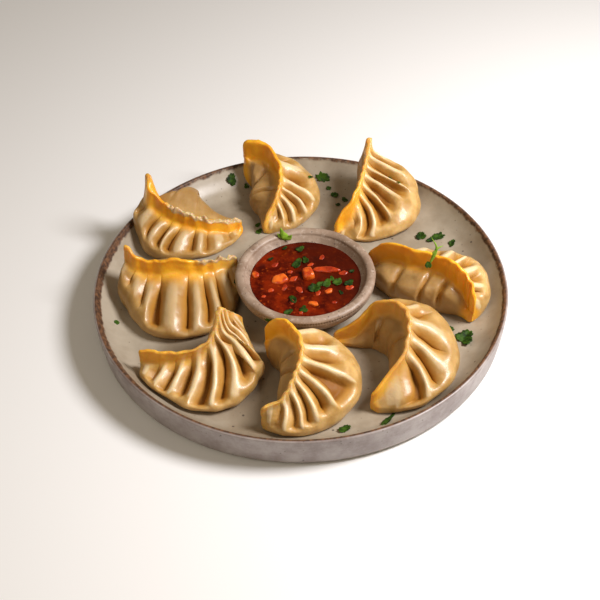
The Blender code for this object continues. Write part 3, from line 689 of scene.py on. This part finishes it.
def chunk_material(name, dark, light):
    made, tree, shader = new_material(name)
    plug(tree, shader, {
        "Base Color": tint(tree, noise(tree, 250.0, 4.0), 0.35, 0.65, 1.0, dark, light),
        "Roughness": 0.35,
        "Coat Weight": 0.25,
        "Coat Roughness": 0.08,
        "Subsurface Weight": 0.3,
        "Subsurface Radius": (1.0, 0.3, 0.1),
        "Subsurface Scale": 0.002,
    })
    bump(tree, shader, noise(tree, 900.0, 3.0), 0.0003, 0.5)
    return made


def herb_material(name, dark, light):
    made, tree, shader = new_material(name)
    mottle = maths(tree, "ADD", noise(tree, 500.0, 3.0), noise(tree, 45.0, 1.0))
    colour = tint(tree, mottle, 0.75, 1.25, 1.0, dark, light)
    plug(tree, shader, {"Base Color": colour, "Roughness": 0.55, "Specular IOR Level": 0.15})
    bump(tree, shader, noise(tree, 1500.0, 2.0), 0.0002, 0.5)
    return made


def floor_material():
    made, tree, shader = new_material("pale_floor")
    plug(tree, shader, {"Base Color": (0.88, 0.88, 0.88, 1.0), "Roughness": 0.7})
    return made


# ---------------------------------------------------------------- pieces
def dress(piece, material, slot, *nodes):
    """Gives a piece its material and body, and hides the frame's nodes that it stands for, if any. The slot
    is not used.
    """
    piece.data.materials.append(material)
    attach(piece, "root")
    if nodes:
        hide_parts(*nodes)
    return piece


def make_plate():
    wall_r = np.linspace(PLATE_FLOOR_R, PLATE_INNER_R, 24)[:-1]
    rim_half = (PLATE_RIM_R - PLATE_INNER_R) / 2
    profile = [(0.0, PLATE_FLOOR_Z)] + [(r, float(plate_top(r))) for r in wall_r]
    profile += arc(PLATE_RIM_R - rim_half, PLATE_HEIGHT - 1.0, rim_half, 1.0, 180, 0, 9)
    profile += [(PLATE_RIM_R - 0.3, 12.0), (PLATE_RIM_R - 1.4, 3.0), (PLATE_RIM_R - 4.0, 0.8)]
    profile += [(PLATE_BASE_R, 0.0), (0.0, 0.0)]

    def ripple(r, z, angle):
        outer = smooth(r, PLATE_RIM_R - 6.0, PLATE_RIM_R - 1.0)
        outer = outer * smooth(z, 1.0, 3.0) * (1 - smooth(z, 18.5, 20.0))
        grooves = 1 + np.sin(z * 2 * math.pi / GROOVE_SPACING + 0.8 * np.sin(angle * 2))
        inner = smooth(r, 15.0, 30.0) * (1 - smooth(r, 108.0, 116.0)) * (z > 5.0)
        rings = np.sin(r * 2 * math.pi / THROWING_SPACING + 0.6 * np.sin(angle * 3)) - 1.0
        return -outer * GROOVE_DEPTH * grooves, inner * THROWING_DEPTH * rings

    return turned("plate_glazed", refine(profile, 0.9), 288, (0.0, 0.0), ripple)


def bowl_inside():
    """The profile of the bowl's hollow, from the middle of its floor to its rim."""
    floor = BOWL_LOW.z + BOWL_FLOOR_THICKNESS
    depth = BOWL_HIGH.z - BOWL_LIP_DROP - floor
    shares = [(i / BOWL_HOLLOW_STEPS) ** 2 for i in range(BOWL_HOLLOW_STEPS + 1)]
    return [((BOWL_RIM_R - BOWL_RIM_THICKNESS) * s ** BOWL_HOLLOW_POWER, floor + depth * s) for s in shares]


def make_bowl():
    rim_half = BOWL_RIM_THICKNESS / 2
    foot = BOWL_LOW.z
    side = BOWL_HEIGHT - BOWL_LIP_DROP
    profile = bowl_inside()[:-1]
    profile += arc(BOWL_RIM_R - rim_half, foot + side, rim_half, BOWL_LIP_DROP, 180, 0, 14)
    for share in np.linspace(0.95, 0.04, 16):
        flare = math.sin(0.5 * math.pi * share)
        profile.append((BOWL_FOOT_R + (BOWL_RIM_R - BOWL_FOOT_R) * flare, foot + side * share))
    profile += [(BOWL_FOOT_R - 1.0, foot), (0.0, foot)]

    def ripple(r, z, angle):
        rim = BOWL_HIGH.z
        groove = np.exp(-((z - (rim - 2.9)) / 0.5) ** 2) + 0.5 * np.exp(-((z - (rim - 5.0)) / 0.35) ** 2)
        teeth = 0.5 + 0.5 * np.sin(angle * BOWL_NOTCHES)
        dents = lump_noise(np.stack([r * np.cos(angle), r * np.sin(angle), z + 0 * angle], -1), 6.0, 3)
        notches = groove * teeth * (r > BOWL_RIM_R - 3.0)
        return 0.15 * dents * (r > 20.0) - notches, 0.12 * dents * (z > rim - 2.5)

    return turned("bowl_stoneware_piece", refine(profile, 0.5), 3 * BOWL_NOTCHES, BOWL_CENTRE, ripple)


def make_dip():
    wall = bowl_inside()
    edge = float(np.interp(DIP_LEVEL, [z for r, z in wall], [r for r, z in wall])) + 0.25
    below = [(max(r - 0.2, 0.0), z) for r, z in wall if z < DIP_LEVEL - 1.0]
    profile = [(0.0, DIP_LEVEL)] + [(r, DIP_LEVEL) for r in np.linspace(1.0, edge - 0.6, 40)]
    profile += [(edge, DIP_LEVEL + 0.25)] + below[::-1]

    def ripple(r, z, angle):
        top = (z > DIP_LEVEL - 0.2) * (1 - smooth(r, edge - 3.0, edge - 1.0))
        place = np.stack([r * np.cos(angle), r * np.sin(angle), 0 * r * angle], -1)
        waves = 0.28 * lump_noise(place, 5.0, 8) + 0.16 * lump_noise(place, 1.8, 9)
        return np.zeros_like(waves), top * waves

    return turned("dip_surface", profile, 160, BOWL_CENTRE, ripple)


def chunk(build, place, size, height, turn, corners, seed):
    """A cut piece with uneven corners, part sunk in the dip."""
    chance = np.random.default_rng(seed)
    outline = []
    for i in range(corners):
        angle = 2 * math.pi * (i + 0.35 * (chance.random() - 0.5)) / corners
        reach = 1.0 + 0.25 * (chance.random() - 0.5)
        outline.append((math.cos(angle) * size[0] * reach, math.sin(angle) * size[1] * reach))
    spin = Matrix.Rotation(turn, 3, "Z")
    rings = []
    for level, share in ((-1.2, 0.9), (height * 0.3, 1.0), (height * 0.8, 0.88), (height, 0.62)):
        ring = []
        for x, y in outline:
            at = spin @ Vector((x * share, y * share, 0.0))
            tilt = 0.12 * (at.x + at.y) * (level > 0)
            corner = Vector((place[0] + at.x, place[1] + at.y, place[2] + level + tilt))
            ring.append(build.verts.new(corner * MM))
        rings.append(ring)
    for low, high in zip(rings, rings[1:]):
        for j in range(corners):
            k = (j + 1) % corners
            build.faces.new((low[j], low[k], high[k], high[j]))
    build.faces.new(rings[-1])
    build.faces.new(rings[0][::-1])


def mesh_from(build, name, subdivide=0):
    bmesh.ops.recalc_face_normals(build, faces=build.faces[:])
    mesh = bpy.data.meshes.new(name)
    build.to_mesh(mesh)
    build.free()
    piece = new_piece(name, mesh)
    if subdivide:
        level = piece.modifiers.new("Round", "SUBSURF")
        level.levels = subdivide
        level.render_levels = subdivide
    return piece


# Pieces in the dip, from the bowl's centre: x, y, half length, half width, height, turn in degrees, corners.
TOMATO_PIECES = [
    (1, 3, 5.0, 5.4, 3.8, 50, 4), (-15, 0, 6.0, 4.2, 1.7, 200, 5), (-29, 4, 2.4, 3.0, 1.5, 20, 5),
    (4, -21, 3.6, 1.9, 1.5, -20, 5), (13, -11, 2.9, 1.9, 1.2, 30, 5),
]
CHILLI_PIECES = [
    (-7, 0, 3.4, 2.4, 0.7, 30, 4), (-9, 6, 1.9, 1.5, 0.7, 0, 5), (7, -12, 2.4, 1.8, 0.6, 80, 5),
    (22, 4, 3.0, 2.2, 0.6, 10, 5), (25, -8, 3.4, 2.2, 0.6, 0, 5), (-4, -9, 3.2, 2.2, 0.5, 120, 5),
    (-24, -14, 1.6, 1.2, 0.6, 0, 5), (-18, 12, 3.2, 1.8, 0.5, 30, 5), (10, 18, 2.6, 1.6, 0.5, 70, 5),
    (-20, -9, 2.2, 1.5, 0.6, 15, 5), (-8, -19, 2.2, 1.6, 0.5, 100, 5), (16, -20, 1.8, 1.2, 0.6, 0, 5),
    (-3, -28, 1.6, 1.2, 0.8, 0, 5), (-12, -7, 2.6, 1.7, 0.4, 60, 5), (3, 12, 2.4, 1.4, 0.5, 20, 5),
    (12, 7, 9.0, 2.6, 1.4, -8, 5),
]


def make_chunks(name, rows, seed):
    build = bmesh.new()
    for i, (x, y, half_length, half_width, height, turn, corners) in enumerate(rows):
        place = (BOWL_CENTRE[0] + x, BOWL_CENTRE[1] + y, DIP_LEVEL)
        chunk(build, place, (half_length, half_width), height, math.radians(turn), corners, seed + i)
    sharpness = build.edges.layers.float.new("crease_edge")
    for edge in build.edges:
        edge[sharpness] = 0.4
    return mesh_from(build, name, 2)


def leaf(build, place, normal, size, turn, seed, slim):
    """A chopped leaf: a thick sheet of three toothed lobes, bent, and folded over its middle line."""
    chance = np.random.default_rng(seed)
    fold, bend = 0.15 + 0.25 * chance.random(), 0.4 * (chance.random() - 0.5)
    torn, cut = 6.28 * chance.random(), 0.25 + 0.35 * chance.random()
    up = Vector(normal).normalized()
    side = Matrix.Rotation(turn, 3, up) @ up.orthogonal().normalized()
    other = up.cross(side)
    outline = []
    for j in range(LEAF_SEGMENTS):
        angle = 2 * math.pi * j / LEAF_SEGMENTS
        lobes = 0.62 + 0.38 * abs(math.cos(1.5 * angle)) ** 0.7 + 0.07 * math.cos(13 * angle + torn)
        reach = size * lobes * (1.0 - cut * max(0.0, math.cos(angle - torn)) ** 3)
        outline.append((math.cos(angle) * reach, math.sin(angle) * reach * slim))
    sheets = []
    for below in (0.0, LEAF_THICKNESS):
        sheet = [[build.verts.new((Vector(place) + up * (LEAF_LIFT - below)) * MM)]]
        for i in range(1, LEAF_RINGS + 1):
            rim = 0.6 if i == LEAF_RINGS else 1.0
            ring = []
            for a, b in ((x * i / LEAF_RINGS, y * i / LEAF_RINGS) for x, y in outline):
                lift = LEAF_LIFT - below * rim + fold * abs(b) + bend * a * a / size
                at = Vector(place) + side * a + other * b + up * max(lift, 0.1 - below)
                ring.append(build.verts.new(at * MM))
            sheet.append(ring)
        sheets.append(sheet)
    for j in range(LEAF_SEGMENTS):
        k = (j + 1) % LEAF_SEGMENTS
        for sheet in sheets:
            build.faces.new((sheet[0][0], sheet[1][j], sheet[1][k]))
            for low, high in zip(sheet[1:], sheet[2:]):
                build.faces.new((low[j], high[j], high[k], low[k]))
        build.faces.new((sheets[0][-1][j], sheets[1][-1][j], sheets[1][-1][k], sheets[0][-1][k]))


def blade(build, spine, widths):
    """A bent blade of green through the places of its spine, with a half width at each."""
    t = np.linspace(0.0, 1.0, BLADE_RINGS)
    line = along(spine, t)
    wide = along(np.array(widths, float)[:, None], t)[:, 0]
    ahead = unit(np.gradient(line, axis=0))
    side = unit(np.cross(ahead, (0.0, -0.7, 0.7)))
    other = np.cross(side, ahead)
    angle = np.linspace(0.0, 2.0 * math.pi, BLADE_SIDES, endpoint=False)
    rings = []
    for i in range(BLADE_RINGS):
        deep = min(BLADE_HALF_THICKNESS, wide[i])
        ring = line[i] + np.outer(np.cos(angle) * wide[i], side[i]) + np.outer(np.sin(angle) * deep, other[i])
        rings.append([build.verts.new(Vector(point) * MM) for point in ring])
    for low, high in zip(rings, rings[1:]):
        for j in range(BLADE_SIDES):
            k = (j + 1) % BLADE_SIDES
            build.faces.new((low[j], low[k], high[k], high[j]))
    build.faces.new(rings[0][::-1])
    build.faces.new(rings[-1])


# Herb leaves: x, y, half length, turn in degrees, and the width as a share of the length.
PLATE_HERBS = [
    (-44, 104, 4.6, 30, 0.8), (16, 108, 5.6, 80, 0.8), (24, 94, 3.4, 10, 0.8), (30, 89, 3.0, 60, 0.7),
    (94, 43, 3.2, 0, 0.8), (92, -38, 7.0, 10, 0.8), (84, -30, 3.8, 100, 0.7), (22, -103, 4.4, 20, 0.8),
    (45, -98, 8.0, 12, 0.28), (-106, -21, 2.4, 30, 0.7), (-17, -46, 4.2, 70, 0.7), (87, 50, 5.4, 0, 0.7),
    (76, 51, 4.4, 40, 0.8), (-25, 59, 3.0, 20, 0.7), (-26, 65, 2.4, 20, 0.7), (82, 47, 3.2, 150, 0.8),
    (20, 101, 2.4, 40, 0.7), (25, 84, 2.2, 90, 0.7),
]
DIP_HERBS = [
    (5, -8, 4.2, 40, 0.9), (-5, 13, 4.4, 10, 0.7), (0, 16, 3.2, 60, 0.7), (-3, 25, 3.4, 0, 0.7),
    (12, -4, 4.0, 20, 0.7), (19, -3, 4.4, 0, 0.6), (25, -5, 3.6, 10, 0.7), (-7, -17, 3.8, 80, 0.7),
    (-1, -25, 3.4, 30, 0.8), (-10, -27, 3.4, 0, 0.6), (9, -5, 3.2, 0, 0.7), (15, 0, 2.4, 50, 0.7),
    (-20, 17, 2.0, 0, 0.7), (20, -12, 2.0, 70, 0.6), (-12, 27, 2.0, 0, 0.7), (27, 5, 2.0, 0, 0.7),
]
RIM_HERBS = [(-37, 4, 4.2, 30, 0.6)]
FOOD_HERBS = [(58, 84, 2.6, 0, 0.5), (63, 79, 2.8, 40, 0.4), (8, 90, 2.6, 0, 0.5), (-34, 102, 2.4, 60, 0.7)]

# Fresh blades: the places of the spine and the half width at each.
SPRIGS = [
    ([(74, -6, 38), (76, -5, 43), (77, -4, 48), (74, -3, 54)], [0.5, 1.1, 0.6, 0.1]),
    ([(75, -5, 44), (78, -4, 47), (81, -3, 48)], [0.5, 0.5, 0.1]),
    ([(-7.5, 29.5, 25.5), (-8.5, 29, 29), (-10, 29, 32), (-11, 29.5, 36)], [1.0, 2.2, 1.6, 0.2]),
    ([(-8.5, 29, 28), (-6, 28.5, 29), (-4.5, 28.5, 31)], [0.8, 1.5, 0.2]),
    ([(-9, 29, 29), (-11.5, 29, 30), (-13, 29, 32)], [0.7, 1.2, 0.2]),
]


def surface_below(trees, x, y):
    """The highest surface under a place, and its normal."""
    best = None
    for tree in trees:
        hit, normal, _, _ = tree.ray_cast(Vector((x, y, 100.0)) * MM, Vector((0, 0, -1)))
        if hit is not None and (best is None or hit.z > best[0].z):
            best = (hit, normal)
    return best


def make_herbs(grounds):
    trees = []
    for piece in grounds:
        corners = [vertex.co for vertex in piece.data.vertices]
        trees.append(BVHTree.FromPolygons(corners, [tuple(face.vertices) for face in piece.data.polygons]))
    build = bmesh.new()
    shift = [(x + BOWL_CENTRE[0], y + BOWL_CENTRE[1], *rest) for x, y, *rest in DIP_HERBS]
    for i, (x, y, size, turn, slim) in enumerate(PLATE_HERBS + shift + RIM_HERBS + FOOD_HERBS):
        hit, normal = surface_below(trees, x, y)
        if normal.z < 0:
            normal = -normal
        leaf(build, hit / MM, normal, size, math.radians(turn), 300 + i, slim)
    leaf(build, (73.0, -7.0, 37.5), (-0.3, -0.6, 0.7), 2.6, 0.5, 400, 0.8)
    return mesh_from(build, "herb_leaves")


def make_sprigs():
    build = bmesh.new()
    for spine, widths in SPRIGS:
        blade(build, spine, widths)
    return mesh_from(build, "herb_sprigs")


def make_floor():
    bpy.ops.mesh.primitive_plane_add(size=6.0, location=(0.0, 0.0, 0.0))
    floor = bpy.context.object
    floor.name = "floor"
    floor.data.materials.append(floor_material())


def area_light(name, place, size, power, colour):
    light = bpy.data.lights.new(name, "AREA")
    light.shape = "DISK"
    light.size = size
    light.energy = power
    light.color = colour
    lamp = bpy.data.objects.new(name, light)
    lamp.location = place
    lamp.rotation_euler = (Vector((0, 0, 0.02)) - Vector(place)).to_track_quat("-Z", "Y").to_euler()
    bpy.context.scene.collection.objects.link(lamp)


def make_lights():
    world = bpy.data.worlds.new("studio")
    bpy.context.scene.world = world
    world.use_nodes = True
    background = world.node_tree.nodes["Background"]
    plug(world.node_tree, background, {"Color": (1.0, 0.82, 0.58, 1.0), "Strength": 0.21})
    area_light("key", (0.42, -0.06, 0.50), 0.24, 6.0, (1.0, 0.97, 0.97))
    area_light("fill", (-0.30, -0.42, 0.60), 0.30, 0.8, (1.0, 0.90, 0.76))


CAMERA_ELEVATION = math.radians(44.5)
CAMERA_DISTANCE = 0.65
CAMERA_ROLL = math.radians(1.23)
CAMERA_LENS = 65.45
CAMERA_SHIFT = (-0.0013, 0.0095)


def make_camera():
    data = bpy.data.cameras.new("camera")
    data.sensor_width = 36.0
    data.lens = CAMERA_LENS
    data.shift_x, data.shift_y = CAMERA_SHIFT
    camera = bpy.data.objects.new("camera", data)
    place = Vector((0, -math.cos(CAMERA_ELEVATION), math.sin(CAMERA_ELEVATION))) * CAMERA_DISTANCE
    look = (-place).to_track_quat("-Z", "Y").to_matrix().to_4x4()
    camera.matrix_world = Matrix.Translation(place) @ look @ Matrix.Rotation(-CAMERA_ROLL, 4, "Z")
    bpy.context.scene.collection.objects.link(camera)
    bpy.context.scene.camera = camera
    bpy.context.scene.view_settings.view_transform = "Standard"


make_camera()
make_lights()
make_floor()
plate = dress(make_plate(), plate_material(), "stoneware", "plate")
bowl = dress(make_bowl(), clay_material(), "bowl_clay", "dip_bowl")
dip = dress(make_dip(), dip_material(), "chilli_dip", "dip")
tomato = chunk_material("tomato_pieces", (0.46, 0.040, 0.003), (0.80, 0.17, 0.012))
dress(make_chunks("dip_tomato_pieces", TOMATO_PIECES, 100), tomato, "chilli_dip")
chilli = chunk_material("chilli_pieces", (0.26, 0.014, 0.001), (0.55, 0.055, 0.004))
dress(make_chunks("dip_chilli_pieces", CHILLI_PIECES, 140), chilli, "chilli_dip")
dough = dough_material()
food = []
for node, shape in DUMPLINGS.items():
    surface, values = dumpling_surface(**shape)
    food.append(dress(skin(node + "_dough", surface, values), dough, "dough", node))
chopped = herb_material("chopped_herb", (0.006, 0.018, 0.002), (0.045, 0.105, 0.007))
dress(make_herbs([plate, bowl, dip] + food), chopped, "dough")
dress(make_sprigs(), herb_material("fresh_sprig", (0.12, 0.26, 0.015), (0.26, 0.42, 0.04)), "dough")

bpy.context.view_layer.update()
